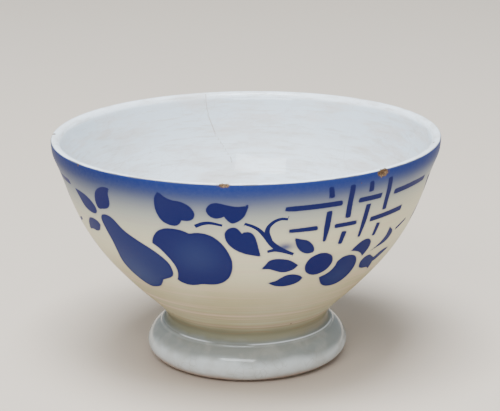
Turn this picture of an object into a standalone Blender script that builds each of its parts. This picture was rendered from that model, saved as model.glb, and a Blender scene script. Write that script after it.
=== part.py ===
"""Footed coffee bowl in glazed earthenware: a turned bowl body and the foot ring that carries it.

Both pieces are solids of revolution about +Z, standing on z = 0 with their axis through the origin.
The body is one jiggered wall. The foot is moulded on its own and luted under the body with slip,
and the thin gap between the two solids is that layer of slip. Lengths are in metres.
"""
import math

import bpy
import numpy as np

# Driving dimensions
RIM_RADIUS = 0.080
HEIGHT = 0.095
NECK_RADIUS = 0.032
NECK_HEIGHT = 0.016
FOOT_RADIUS = 0.042
CONTACT_RADIUS = 0.034

# Thicknesses
LIP_THICKNESS = 0.0040
WALL_THICKNESS = 0.0055
FLOOR_THICKNESS = 0.0065
LIP_EDGE = 0.0009           # the tight rounding on the lip's outer edge
SLIP_GAP = 0.0003

# The body's outer wall from the neck to the lip, as shares of its spread and of its rise
BELLY = ((0.0, 0.0), (0.11, 0.10), (0.345, 0.24), (0.575, 0.40), (0.735, 0.55),
         (0.845, 0.70), (0.93, 0.85), (0.985, 0.935), (0.997, 0.97), (1.0, 1.0))
FLOOR_STATION = 2           # the belly point below which the inside turns into the floor
LIP_STATION = 8             # the belly point above which the inside rounds over into the lip
UNDERSIDE_SAG = 0.0022      # how far the body's underside bulges down inside the neck

# The foot ring's section
FLARE = 1.1                 # 1 is a round flare from the neck, 2 a straight one
BULGE_HEIGHT = 0.0062
CONTACT_WIDTH = 0.003
SEAT_WIDTH = 0.0055
FOOT_INSIDE = ((0.0330, 0.0025), (0.0335, 0.0065), (0.0310, 0.0110))

# How finely each stretch of a section, and the turn round the axis, is divided
TURN_STEPS = 48
WALL_STEPS = 2
FLOOR_STEPS = 6
UNDERSIDE_STEPS = 4
LIP_INSIDE_STEPS = 4
LIP_OUTSIDE_STEPS = 3
SEAT_STEPS = 2
FLARE_STEPS = 8
EDGE_STEPS = 5
QUARTER_TURN = math.pi / 2

GLAZE_CREAM = (0.74, 0.70, 0.58, 1.0)
GLAZE_GREY = (0.60, 0.62, 0.62, 1.0)


def clear_scene():
    for old in list(bpy.data.objects):
        bpy.data.objects.remove(old, do_unlink=True)


def glaze(name, colour):
    """A glossy glaze of one colour."""
    material = bpy.data.materials.new(name)
    material.use_nodes = True
    shader = material.node_tree.nodes["Principled BSDF"]
    shader.inputs["Base Color"].default_value = colour
    shader.inputs["Roughness"].default_value = 0.22
    shader.inputs["Metallic"].default_value = 0.0
    return material


def through(points, steps):
    """A smooth (Catmull-Rom) curve through the points, with this many steps from each to the next."""
    knots = np.asarray(points, dtype=float)
    first = 2 * knots[0] - knots[1]
    last = 2 * knots[-1] - knots[-2]
    knots = np.vstack((first, knots, last))
    a, b, c, d = knots[:-3, None], knots[1:-2, None], knots[2:-1, None], knots[3:, None]
    t = np.linspace(0.0, 1.0, steps, endpoint=False)[None, :, None]
    spans = 0.5 * (2 * b + (c - a) * t + (2 * a - 5 * b + 4 * c - d) * t ** 2
                   + (3 * b - a - 3 * c + d) * t ** 3)
    return np.vstack((spans.reshape(-1, 2), knots[-2]))


def underside(radius):
    """Height of the body's underside inside the neck: a shallow bowl of its own."""
    return NECK_HEIGHT - UNDERSIDE_SAG * (1.0 - (radius / NECK_RADIUS) ** 2)


def outer_wall():
    """The body's outside, from the neck up to the lip's edge."""
    shares = np.array(BELLY)
    radii = NECK_RADIUS + shares[:, 0] * (RIM_RADIUS - NECK_RADIUS)
    heights = NECK_HEIGHT + shares[:, 1] * (HEIGHT - LIP_EDGE - NECK_HEIGHT)
    return through(np.column_stack((radii, heights)), WALL_STEPS)


def inner_wall(outer, floor_index, lip_index):
    """The inside: the outside moved in by the wall's thickness, then a floor of height f + d (r / R)^p.

    R is where the floor starts and d its rise up to there. The power p makes both slopes equal.
    """
    along = np.gradient(outer, axis=0)
    along /= np.linalg.norm(along, axis=1)[:, None]
    inward = np.column_stack((-along[:, 1], along[:, 0]))
    rise = (outer[:, 1] - outer[floor_index, 1]) / (outer[-1, 1] - outer[floor_index, 1])
    thickness = WALL_THICKNESS + rise * (LIP_THICKNESS - WALL_THICKNESS)
    wall = (outer + inward * thickness[:, None])[floor_index:lip_index + 1]
    floor_height = underside(0.0) + FLOOR_THICKNESS
    start_radius, start_height = wall[0]
    drop = start_height - floor_height
    slope = along[floor_index, 1] / along[floor_index, 0]
    power = slope * start_radius / drop
    share = np.linspace(0.0, 1.0, FLOOR_STEPS, endpoint=False)
    floor = np.column_stack((start_radius * share, floor_height + drop * share ** power))
    return np.vstack((floor, wall))


def lip(inner_end):
    """Two quarter-ellipses that meet at the lip's crest: a wide one inside and a tight one outside."""
    crest_radius = RIM_RADIUS - LIP_EDGE
    turn = np.linspace(0.0, QUARTER_TURN, LIP_INSIDE_STEPS + 1)[1:]
    inside = np.column_stack((crest_radius - (crest_radius - inner_end[0]) * np.cos(turn),
                              inner_end[1] + (HEIGHT - inner_end[1]) * np.sin(turn)))
    turn = np.linspace(0.0, QUARTER_TURN, LIP_OUTSIDE_STEPS + 1)[1:-1]
    outside = np.column_stack((crest_radius + LIP_EDGE * np.sin(turn),
                               HEIGHT - LIP_EDGE + LIP_EDGE * np.cos(turn)))
    return np.vstack((inside, outside))


def body_profile():
    """Floor centre, up the inside, over the lip, down the outside and in along the underside."""
    outer = outer_wall()
    inner = inner_wall(outer, FLOOR_STATION * WALL_STEPS, LIP_STATION * WALL_STEPS)
    radii = np.linspace(NECK_RADIUS, 0.0, UNDERSIDE_STEPS + 1)[1:]
    below = np.column_stack((radii, underside(radii)))
    return np.vstack((inner, lip(inner[-1]), outer[::-1], below))


def foot_profile():
    """The ring's section: seat, flared outside, rounded edge, flat contact and hollow inside."""
    seat_radii = np.linspace(NECK_RADIUS - SEAT_WIDTH, NECK_RADIUS, SEAT_STEPS + 1)
    seat = np.column_stack((seat_radii, underside(seat_radii) - SLIP_GAP))
    turn = np.linspace(0.0, QUARTER_TURN, FLARE_STEPS + 1)[1:]
    neck_top = seat[-1, 1]
    flare = np.column_stack((NECK_RADIUS + (FOOT_RADIUS - NECK_RADIUS) * np.sin(turn) ** FLARE,
                             BULGE_HEIGHT + (neck_top - BULGE_HEIGHT) * np.cos(turn) ** FLARE))
    turn = np.linspace(0.0, QUARTER_TURN, EDGE_STEPS + 1)[1:]
    edge = np.column_stack((CONTACT_RADIUS + (FOOT_RADIUS - CONTACT_RADIUS) * np.cos(turn),
                            BULGE_HEIGHT * (1.0 - np.sin(turn))))
    inside_start = (CONTACT_RADIUS - CONTACT_WIDTH, 0.0)
    inside = through((inside_start, *FOOT_INSIDE, tuple(seat[0])), WALL_STEPS)[:-1]
    return np.vstack((seat, flare, edge, inside))


def turned(name, profile, closed, material, collection):
    """A solid of revolution: the profile's outer side runs from top to bottom."""
    mesh = bpy.data.meshes.new(name)
    count = len(profile)
    edges = [(i, i + 1) for i in range(count - 1)]
    if closed:
        edges.append((count - 1, 0))
    mesh.from_pydata([(radius, 0.0, height) for radius, height in profile.tolist()], edges, [])
    mesh.materials.append(material)
    piece = bpy.data.objects.new(name, mesh)
    collection.objects.link(piece)
    screw = piece.modifiers.new("Turn", "SCREW")
    screw.axis = "Z"
    screw.angle = 2 * math.pi
    screw.steps = TURN_STEPS
    screw.render_steps = TURN_STEPS
    screw.use_merge_vertices = True
    screw.merge_threshold = 0.00001
    screw.use_smooth_shade = True
    return piece


def make_bowl(collection, parent):
    body = turned("bowl", body_profile(), False, glaze("glaze_cream", GLAZE_CREAM), collection)
    body.parent = parent


def make_foot(collection, parent):
    foot = turned("foot_ring", foot_profile(), True, glaze("glaze_grey", GLAZE_GREY), collection)
    foot.parent = parent


def main():
    clear_scene()
    collection = bpy.data.collections.new("footed_coffee_bowl")
    bpy.context.scene.collection.children.link(collection)
    axis = bpy.data.objects.new("bowl_axis", None)
    collection.objects.link(axis)
    make_bowl(collection, axis)
    make_foot(collection, axis)


main()
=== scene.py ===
"""A footed coffee bowl in glazed earthenware, finished: a turned body with a sprayed cobalt band, stencilled
fruit, leaves and trellis, small chips in the lip and a hairline crack, on a rounded foot ring.

Both pieces are surfaces of revolution about +Z. A place on a wall is given by its angle, from the front
towards +X in degrees, and by its height or its run, the length along the section from the lip's outer edge,
which is positive down the outside and negative over the lip and down the inside.
"""
import math

import bpy
import numpy as np
from bpy.props import FloatProperty, FloatVectorProperty, IntProperty, PointerProperty
from mathutils import Matrix, Vector


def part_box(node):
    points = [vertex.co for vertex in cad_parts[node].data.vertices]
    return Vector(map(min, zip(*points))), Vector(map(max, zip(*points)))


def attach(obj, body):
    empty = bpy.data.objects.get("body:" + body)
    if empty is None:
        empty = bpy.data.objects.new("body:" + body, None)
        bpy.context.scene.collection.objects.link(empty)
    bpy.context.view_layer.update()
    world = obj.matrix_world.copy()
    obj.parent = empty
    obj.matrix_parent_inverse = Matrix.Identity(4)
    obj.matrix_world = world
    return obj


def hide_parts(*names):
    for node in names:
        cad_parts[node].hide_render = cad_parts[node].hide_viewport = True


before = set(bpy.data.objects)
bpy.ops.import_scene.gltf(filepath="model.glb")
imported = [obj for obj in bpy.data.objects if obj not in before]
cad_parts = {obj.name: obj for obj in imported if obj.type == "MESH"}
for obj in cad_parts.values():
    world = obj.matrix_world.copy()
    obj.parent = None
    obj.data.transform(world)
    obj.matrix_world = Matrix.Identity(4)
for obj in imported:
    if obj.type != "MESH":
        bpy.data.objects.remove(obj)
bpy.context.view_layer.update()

bl_info = {
    "name": "Footed Coffee Bowl",
    "version": (1, 0, 0),
    "blender": (4, 5, 0),
    "location": "3D View > Sidebar > Coffee Bowl",
    "description": "Builds a glazed earthenware coffee bowl with a sprayed band and stencilled fruit",
    "category": "Object",
}

MM = 0.001
BOWL_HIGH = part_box("bowl")[1]
FOOT_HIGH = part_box("foot_ring")[1]
SLIP_GAP = 0.3 * MM

# The body's outer wall from the neck to the lip, as shares of its spread and of its rise
BELLY = ((0.0, 0.0), (0.11, 0.10), (0.345, 0.24), (0.575, 0.40), (0.735, 0.55),
         (0.845, 0.70), (0.93, 0.85), (0.985, 0.935), (0.997, 0.97), (1.0, 1.0))
FLOOR_STATION = 2
LIP_STATION = 8
FOOT_INSIDE = ((0.0330, 0.0025), (0.0335, 0.0065), (0.0310, 0.0110))
CORNER = True               # marks an outline's point where the curve breaks

# Stencil shapes: how thin the colour is sprayed, from 0 to 1, a paler patch (angle, height, radius, gain) or None,
# and the outline's points (angle in degrees, height in millimetres), with CORNER where the curve breaks.
SHAPES = {
    "slender_petal": (0.14, None, (
        (-61.8, 82.0, CORNER), (-58.0, 81.7), (-55.0, 80.7), (-52.5, 78.5), (-51.7, 76.0), (-53.0, 74.1),
        (-55.7, 73.9), (-58.8, 75.3), (-60.3, 78.2))),
    "full_petal": (0.02, None, (
        (-50.2, 77.3), (-48.0, 77.6), (-45.6, 78.5), (-44.1, 80.2), (-43.5, 82.6), (-43.1, 85.3),
        (-41.8, 88.0, CORNER), (-44.4, 87.8), (-47.0, 86.3), (-49.2, 83.8), (-50.5, 80.2))),
    "low_petal": (0.20, None, (
        (-63.3, 63.9, CORNER), (-60.3, 65.0), (-57.3, 65.1), (-54.7, 66.4), (-52.9, 69.1, CORNER),
        (-53.8, 70.3), (-56.2, 70.8), (-58.8, 70.1), (-61.2, 67.6))),
    "pear": (0.24, (-44.0, 48.5, 11.0, 0.42), (
        (-48.7, 74.7), (-46.6, 75.0), (-44.3, 73.9), (-41.0, 69.8), (-36.8, 66.8), (-32.0, 63.7),
        (-28.6, 60.6), (-26.7, 57.3), (-26.7, 53.1), (-28.3, 50.9), (-30.6, 49.7), (-32.8, 48.6, CORNER),
        (-34.4, 46.5), (-36.8, 44.4), (-40.2, 43.2), (-43.4, 42.9), (-46.5, 44.9), (-49.2, 48.7),
        (-50.3, 53.0), (-49.5, 58.6), (-49.3, 63.0), (-50.1, 67.5), (-50.6, 71.5), (-50.0, 73.6))),
    "horned_leaf": (0.10, None, (
        (-24.5, 90.3, CORNER), (-23.0, 88.3), (-20.9, 87.1), (-18.4, 86.7), (-16.2, 85.2), (-14.9, 82.4),
        (-15.4, 79.9), (-17.0, 78.8), (-19.0, 78.8, CORNER), (-19.8, 77.2), (-21.3, 76.1), (-23.3, 76.4),
        (-25.3, 77.9), (-26.4, 81.0), (-26.5, 84.2), (-25.9, 87.6))),
    "bird_leaf": (0.04, None, (
        (0.7, 86.8, CORNER), (-0.4, 82.2), (-1.9, 79.8), (-4.0, 78.5), (-5.4, 79.8), (-6.3, 81.5, CORNER),
        (-7.4, 80.8), (-9.0, 80.5), (-10.5, 81.6), (-11.2, 83.8), (-10.1, 86.2), (-8.2, 87.0),
        (-5.6, 86.2), (-2.8, 85.5), (-0.5, 85.8))),
    "heart_leaf": (0.04, None, (
        (-1.5, 73.7, CORNER), (-2.2, 75.3), (-3.3, 76.4), (-4.8, 76.2), (-6.1, 74.6), (-6.3, 72.0),
        (-5.4, 69.2), (-3.6, 66.9), (-1.1, 65.2), (1.4, 64.3), (4.2, 63.6, CORNER), (3.5, 67.2),
        (2.9, 70.3), (2.2, 72.8), (1.1, 74.3), (-0.3, 74.5))),
    "apple": (0.08, (-16.0, 63.0, 9.0, 0.34), (
        (-30.6, 66.8, CORNER), (-29.4, 69.9), (-27.4, 72.7), (-24.8, 74.2), (-21.8, 74.5), (-19.2, 74.0),
        (-17.1, 72.9, CORNER), (-15.2, 73.5), (-12.6, 73.4), (-10.0, 72.1), (-7.6, 69.2), (-5.8, 65.3),
        (-4.8, 61.2), (-5.0, 57.0), (-6.2, 53.4), (-8.2, 51.0), (-10.8, 49.6), (-13.6, 49.2),
        (-16.4, 49.1), (-18.8, 48.4), (-21.5, 48.0), (-24.0, 48.6), (-25.8, 49.9, CORNER), (-24.6, 52.8),
        (-24.3, 56.0), (-25.2, 59.4), (-26.8, 62.5), (-28.7, 65.2))),
    "tendril_web": (0.06, None, (
        (5.4, 73.0), (6.3, 73.9, CORNER), (6.7, 71.6), (7.6, 69.6), (9.2, 67.3), (11.4, 65.9),
        (14.6, 63.6, CORNER), (12.0, 64.6), (9.2, 65.6), (7.0, 65.5, CORNER), (8.4, 66.5), (7.5, 68.4),
        (6.4, 70.7))),
    "sprig_leaf": (0.12, None, (
        (14.6, 70.8, CORNER), (16.7, 70.0), (18.8, 69.1), (20.4, 67.3), (21.4, 65.2), (21.3, 63.6, CORNER),
        (19.3, 63.4), (17.3, 64.6), (15.7, 67.0))),
    "upper_leaf": (0.04, None, (
        (4.8, 57.4, CORNER), (6.1, 59.3), (7.2, 61.1), (8.9, 61.8), (11.4, 61.6), (14.1, 60.6),
        (17.0, 58.1, CORNER), (15.8, 56.5), (13.9, 55.5), (11.8, 55.4), (9.6, 56.3), (7.4, 57.3))),
    "lower_leaf": (0.10, None, (
        (7.8, 50.1, CORNER), (10.4, 51.0), (12.2, 52.5), (14.2, 53.6), (16.6, 53.5), (18.8, 52.5),
        (19.9, 51.4, CORNER), (19.0, 49.7), (17.0, 48.5), (14.0, 47.9), (11.2, 48.2), (9.2, 49.0))),
    "cherry": (0.0, None, (
        (24.7, 62.5), (28.3, 60.9), (29.7, 57.4), (28.3, 53.8), (24.7, 52.2), (21.1, 53.8), (19.8, 57.4),
        (21.1, 60.9))),
    "plum": (0.12, (35.0, 49.0, 6.0, 0.22), (
        (27.0, 50.3, CORNER), (28.1, 48.3), (29.6, 46.3), (31.8, 44.9), (34.5, 44.3), (37.4, 44.5),
        (39.9, 45.9), (41.5, 48.6), (41.9, 52.0), (41.0, 55.4), (39.2, 57.7), (36.8, 58.8), (34.1, 58.7),
        (32.2, 57.1), (31.9, 55.0), (31.0, 52.9), (29.3, 51.3))),
    "shell_leaf": (0.08, None, (
        (36.4, 61.0, CORNER), (38.0, 62.9), (40.0, 64.5), (42.3, 64.7), (44.1, 63.2), (44.6, 61.0),
        (44.2, 58.9), (43.2, 56.8, CORNER), (41.4, 58.7), (39.1, 60.1))),
    "crescent": (0.16, None, (
        (46.5, 57.8, CORNER), (50.0, 59.0), (53.6, 60.1), (55.4, 62.2), (55.2, 64.5), (52.5, 66.7, CORNER),
        (52.3, 63.8), (51.2, 61.5), (49.3, 59.6))),
    "tail_leaf": (0.24, None, (
        (44.3, 53.2), (45.2, 55.3), (47.4, 55.8), (49.7, 54.5), (52.0, 52.9), (53.3, 50.4),
        (54.2, 47.4, CORNER), (51.7, 48.7), (48.6, 49.3), (45.8, 50.5))),
    "tail_stem": (0.2, None, (
        (52.0, 53.2, CORNER), (54.3, 55.0), (57.2, 55.7), (60.2, 55.2, CORNER), (57.5, 53.4), (54.6, 51.4),
        (52.6, 51.4))),
}

# Trellis laths: (angle, height, half width) along each, in degrees and millimetres
LATHS = (
    ((11.0, 83.9, 0.8), (13.2, 83.8, 1.05), (28.0, 84.0, 1.05)), ((33.7, 83.7, 1.0), (42.2, 83.7, 1.05)),
    ((47.8, 83.6, 1.1), (57.0, 83.9, 1.15), (66.3, 83.7, 1.0)), ((12.6, 74.2, 0.7), (21.3, 74.4, 0.9)),
    ((27.0, 74.1, 0.85), (34.7, 74.1, 0.8)), ((40.2, 73.9, 0.95), (55.0, 74.7, 1.1)),
    ((23.5, 91.5, 0.75), (24.2, 87.0, 1.0)), ((24.4, 81.0, 1.05), (24.4, 74.0, 1.1), (24.4, 67.9, 0.5)),
    ((30.3, 91.0, 0.95), (31.0, 77.0, 1.1)), ((30.9, 71.0, 1.05), (30.4, 65.6, 0.8)),
    ((36.7, 91.0, 0.8), (37.3, 86.8, 1.0)), ((37.9, 81.0, 1.05), (37.7, 74.0, 1.05), (37.4, 67.0, 0.5)),
    ((43.8, 90.8, 0.95), (44.9, 84.5, 1.1), (45.3, 76.9, 1.0)), ((44.7, 71.1, 1.0), (44.2, 65.8, 0.75)),
)
LATH_ROUNDING = 0.15        # millimetres
LATH_WASH = 0.08

# Fine strokes: (angle, height, half width) along each. Strokes of one set never meet.
STROKES = {
    "vein_a": (((-0.2, 78.1, 0.55), (2.0, 76.9, 0.62), (3.8, 75.2, 0.7), (5.6, 72.4, 0.85), (7.8, 68.8, 1.1),
                (9.9, 66.6, 1.1), (12.2, 65.1, 0.8), (14.4, 63.9, 0.6)),
               ((-14.6, 76.8, 0.72), (-12.7, 77.9, 0.7), (-10.4, 78.3, 0.62), (-7.3, 77.5, 0.5)),
               ((57.7, 64.7, 0.65), (60.2, 65.8, 0.75), (62.7, 67.0, 0.5))),
    "vein_b": (((11.7, 79.5, 0.52), (10.0, 79.8, 0.58), (8.0, 78.8, 0.64), (6.4, 76.6, 0.75), (6.0, 74.0, 0.95),
                (6.6, 71.2, 1.1)),
               ((6.8, 65.7, 0.6), (8.7, 66.2, 0.75), (11.0, 65.6, 0.8), (14.0, 64.0, 0.6))),
}

# A soft smudge of colour: angle, height, radius
SMUDGE = (11.8, 67.3, 3.6)

# Where the stencil is laid again round the bowl: its turn in degrees, and the lowest angle kept of it
REPEATS = ((0.0, -90.0), (134.0, -90.0), (-131.0, -12.0))

# The hairline crack inside: (angle, height, half width) from the lip down
CRACK = ((193.5, 94.6, 0.15), (193.6, 89.0, 0.13), (192.4, 82.4, 0.12), (190.4, 76.0, 0.11),
         (187.2, 69.8, 0.10), (185.2, 65.5, 0.08))

# Chips in the lip: angle, run, half width, half height and depth, in degrees and millimetres
CHIPS = ((-6.0, -0.35, 1.9, 0.85, 0.55), (40.7, 0.55, 2.6, 1.7, 0.8), (-91.0, -0.9, 1.1, 1.2, 0.45),
         (139.7, -0.6, 1.3, 0.9, 0.4), (75.8, -3.0, 0.7, 0.6, 0.25))


def length(label, words, value, low=0.0, precision=4):
    return FloatProperty(name=label, description=words, default=value, min=low, unit="LENGTH",
                         precision=precision)


def count(label, words, value):
    return IntProperty(name=label, description=words, default=value, min=48)


def power(label, words, value):
    return FloatProperty(name=label, description=words, default=value, min=0.0, unit="POWER")


def lean(label, words, degrees):
    return FloatProperty(name=label, description=words, default=math.radians(degrees), unit="ROTATION")


def colour(label, words, value):
    return FloatVectorProperty(name=label, description=words, default=value, subtype="COLOR",
                               size=4, min=0.0, max=1.0)


class BowlShape(bpy.types.PropertyGroup):
    """Sizes of the turned body."""

    rim_radius: length("Rim radius", "Radius of the mouth, measured to the lip's outside", BOWL_HIGH.x, 0.04)
    height: length("Height", "Height of the lip above the table", BOWL_HIGH.z, 0.04)
    neck_radius: length("Neck radius", "Radius where the body meets its foot", 32 * MM, 0.01)
    neck_height: length("Neck height", "Height where the body meets its foot", FOOT_HIGH.z + SLIP_GAP, 0.005)
    wall: length("Wall", "Thickness of the wall above the floor", 5.5 * MM, 0.001)
    floor: length("Floor", "Thickness of the floor at its centre", 6.5 * MM, 0.001)
    lip: length("Lip", "Thickness of the wall at the lip", 4 * MM, 0.001)
    lip_edge: length("Lip edge", "Rounding of the lip's outer edge", 0.9 * MM, 0.0001)
    underside_sag: length("Underside", "How far the underside hangs down inside the foot", 2.2 * MM)
    rim_tilt: FloatProperty(
        name="Rim tilt", description="How much the rim rises towards +X, per metre", default=0.0041)
    wobble: length("Wobble", "How far the hand-finished wall strays from true", 0.08 * MM, precision=5)
    columns: count("Columns", "Faces round the bowl", 540)


class FootShape(bpy.types.PropertyGroup):
    """Sizes of the foot ring."""

    radius: length("Radius", "Radius of the ring's bulge", FOOT_HIGH.x, 0.01)
    bulge_height: length("Bulge height", "Height of the ring's widest part", 6.2 * MM, 0.001)
    contact_radius: length("Contact radius", "Outer radius of the face that stands on the table", 34 * MM, 0.01)
    contact_width: length("Contact width", "Width of the face that stands on the table", 3 * MM, 0.0005)
    seat_width: length("Seat width", "Width of the face under the body", 5.5 * MM, 0.001)
    flare: FloatProperty(
        name="Flare", description="1 gives a round flare under the neck and 2 a straight one",
        default=1.1, min=0.5, max=3.0)
    shoulder: length("Shoulder", "How far the top of the ring steps down below the neck", 0.45 * MM, precision=5)
    columns: count("Columns", "Faces round the ring", 360)


class GlazeColours(bpy.types.PropertyGroup):
    """Colours of the clay and of its glazes, some carrying painted light and shade."""

    # The outside glaze is white: its cream tint is painted warm light bounced up from below.
    cream: colour("Cream", "Outside glaze near the band", (0.67, 0.625, 0.42, 1.0))
    # This colour is painted shade and painted warm bounce light: the outside darker and yellower low on the belly.
    shaded_cream: colour("Deep cream", "Outside glaze low on the belly", (0.39, 0.345, 0.20, 1.0))
    olive: colour("Olive", "Thick glaze round the neck", (0.19, 0.18, 0.12, 1.0))
    # Its cool blue tint is painted skylight on a glaze that is white inside and out.
    white: colour("White", "Glaze inside and on the lip", (0.72, 0.75, 0.785, 1.0))
    lip: colour("Lip", "Glaze on the lip", (0.86, 0.88, 0.91, 1.0))
    cobalt: colour("Cobalt", "The sprayed band", (0.017, 0.034, 0.175, 1.0))
    # This colour is painted shade: the band darkened towards -X.
    shaded_cobalt: colour("Dense cobalt", "The sprayed band where it is thick", (0.009, 0.016, 0.085, 1.0))
    haze: colour("Haze", "The thinnest edge of the band", (0.22, 0.35, 0.43, 1.0))
    navy: colour("Navy", "Stencilled colour at full strength", (0.006, 0.009, 0.095, 1.0))
    faded: colour("Faded blue", "Stencilled colour sprayed thinly", (0.04, 0.062, 0.16, 1.0))
    grey: colour("Grey", "Foot ring glaze", (0.61, 0.63, 0.625, 1.0))
    grey_deep: colour("Deep grey", "Foot ring glaze where it is thick", (0.25, 0.255, 0.235, 1.0))
    clay: colour("Clay", "Bare fired clay", (0.20, 0.12, 0.07, 1.0))
    stain: colour("Stain", "Old stain in cracks and chips", (0.10, 0.06, 0.035, 1.0))


class Studio(bpy.types.PropertyGroup):
    """Camera, lights and floor."""

    distance: length("Distance", "How far in front of the axis the camera stands", 0.7206, 0.1)
    eye: length("Eye height", "Height of the camera above the table", 0.2709)
    pitch: lean("Pitch", "How far the camera looks down", 16.04)
    yaw: lean("Yaw", "How far the camera turns towards +X", 0.12)
    roll: lean("Roll", "How far the camera leans", -0.40)
    lens: FloatProperty(
        name="Lens", description="Focal length in millimetres on a 36 mm sensor", default=129.67, min=10.0)
    key_power: power("Key power", "Power of the large soft light overhead", 88.0)
    fill_power: power("Fill power", "Power of the soft light in front", 15.0)
    window_power: power("Window power", "Power of the small bright light in front", 30.0)
    sky: FloatProperty(name="Surroundings", description="Strength of the pale surroundings",
                       default=0.62, min=0.0)
    floor_colour: colour("Floor", "Colour of the floor", (0.63, 0.51, 0.41, 1.0))


class CoffeeBowl(bpy.types.PropertyGroup):
    """Everything a user would change."""

    shape: PointerProperty(type=BowlShape)
    foot: PointerProperty(type=FootShape)
    glazes: PointerProperty(type=GlazeColours)
    studio: PointerProperty(type=Studio)


# Sections

WALL_STEPS = 24             # points from each of the belly's points to the next
SHOULDER = 4.2 * MM         # how far outside the neck the foot's top steps down
FILLET_TOP = 2.7 * MM       # how far above the neck the glaze starts to turn out onto the foot
FILLET_REACH = 3.3 * MM     # how far outside the neck it ends
FILLET_FILM = 0.04 * MM     # how far it stands off the foot there
TUCK = 0.8 * MM             # how deep the body's hidden edge goes into the foot


def through(points, steps):
    """A smooth (Catmull-Rom) curve through the points, with this many steps from each to the next."""
    knots = np.asarray(points, dtype=float)
    first = 2 * knots[0] - knots[1]
    last = 2 * knots[-1] - knots[-2]
    knots = np.vstack((first, knots, last))
    a, b, c, d = knots[:-3, None], knots[1:-2, None], knots[2:-1, None], knots[3:, None]
    t = np.linspace(0.0, 1.0, steps, endpoint=False)[None, :, None]
    spans = 0.5 * (2 * b + (c - a) * t + (2 * a - 5 * b + 4 * c - d) * t ** 2
                   + (3 * b - a - 3 * c + d) * t ** 3)
    return np.vstack((spans.reshape(-1, knots.shape[1]), knots[-2]))


def directions(curve):
    """Unit vectors along a curve of (radius, height) points."""
    along = np.gradient(curve, axis=0)
    return along / np.linalg.norm(along, axis=1)[:, None]


def underside(shape, radius):
    """Height of the body's underside: neck height - sag (1 - (radius / neck radius)^2)."""
    return shape.neck_height - shape.underside_sag * (1.0 - (radius / shape.neck_radius) ** 2)


def outer_wall(shape):
    """The body's outside, from the neck up to the lip's edge: a smooth curve through the belly's points."""
    shares = np.array(BELLY)
    radii = shape.neck_radius + shares[:, 0] * (shape.rim_radius - shape.neck_radius)
    heights = shape.neck_height + shares[:, 1] * (shape.height - shape.lip_edge - shape.neck_height)
    return through(np.column_stack((radii, heights)), WALL_STEPS)


def inner_wall(shape, outer):
    """The inside: the outside moved in by the wall's thickness, then a floor of height f + d (r / R)^p.

    R is where the floor starts and d its rise up to there. The power p makes both slopes equal.
    """
    start, end = FLOOR_STATION * WALL_STEPS, LIP_STATION * WALL_STEPS
    along = directions(outer)
    inward = np.column_stack((-along[:, 1], along[:, 0]))
    rise = (outer[:, 1] - outer[start, 1]) / (outer[-1, 1] - outer[start, 1])
    thickness = shape.wall + rise * (shape.lip - shape.wall)
    wall = (outer + inward * thickness[:, None])[start:end + 1]
    floor_height = underside(shape, 0.0) + shape.floor
    drop = wall[0, 1] - floor_height
    power = along[start, 1] / along[start, 0] * wall[0, 0] / drop
    share = np.linspace(0.0, 1.0, 60, endpoint=False)
    floor = np.column_stack((wall[0, 0] * share, floor_height + drop * share ** power))
    return np.vstack((floor, wall))


def lip_curve(shape, inner_end):
    """Two quarter-ellipses that meet at the lip's crest: a wide one inside and a tight one outside."""
    crest = shape.rim_radius - shape.lip_edge
    turn = np.linspace(0.0, math.pi / 2, 24)[1:]
    inside = np.column_stack((crest - (crest - inner_end[0]) * np.cos(turn),
                              inner_end[1] + (shape.height - inner_end[1]) * np.sin(turn)))
    outside = np.column_stack((crest + shape.lip_edge * np.sin(turn),
                               shape.height - shape.lip_edge + shape.lip_edge * np.cos(turn)))
    return np.vstack((inside, outside[:-1]))


def flare_curve(shape, foot):
    """The foot's top: radius N + (F - N) sin^k and height b + (n - b) cos^k, over a quarter turn.

    As far out as the shoulder it stands proud, and there it steps down by a logistic curve.
    """
    turn = np.linspace(0.0, math.pi / 2, 400)
    top = shape.neck_height - SLIP_GAP
    radii = shape.neck_radius + (foot.radius - shape.neck_radius) * np.sin(turn) ** foot.flare
    heights = foot.bulge_height + (top - foot.bulge_height) * np.cos(turn) ** foot.flare
    curve = np.column_stack((radii, heights))
    along = directions(curve)
    outward = np.column_stack((-along[:, 1], along[:, 0]))
    past = radii - shape.neck_radius
    raised = foot.shoulder * np.clip(past / (1.5 * MM), 0.0, 1.0) / (1.0 + np.exp((past - SHOULDER) / (0.17 * MM)))
    return curve + outward * raised[:, None]


def fillet(start, start_way, end, end_way):
    """A cubic Bezier curve between two points that leaves and arrives along the given directions."""
    reach = 0.42 * np.linalg.norm(end - start)
    t = np.linspace(0.0, 1.0, 30)[:, None]
    return ((1 - t) ** 3 * start + 3 * t * (1 - t) ** 2 * (start + reach * start_way)
            + 3 * t ** 2 * (1 - t) * (end - reach * end_way) + t ** 3 * end)


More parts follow.
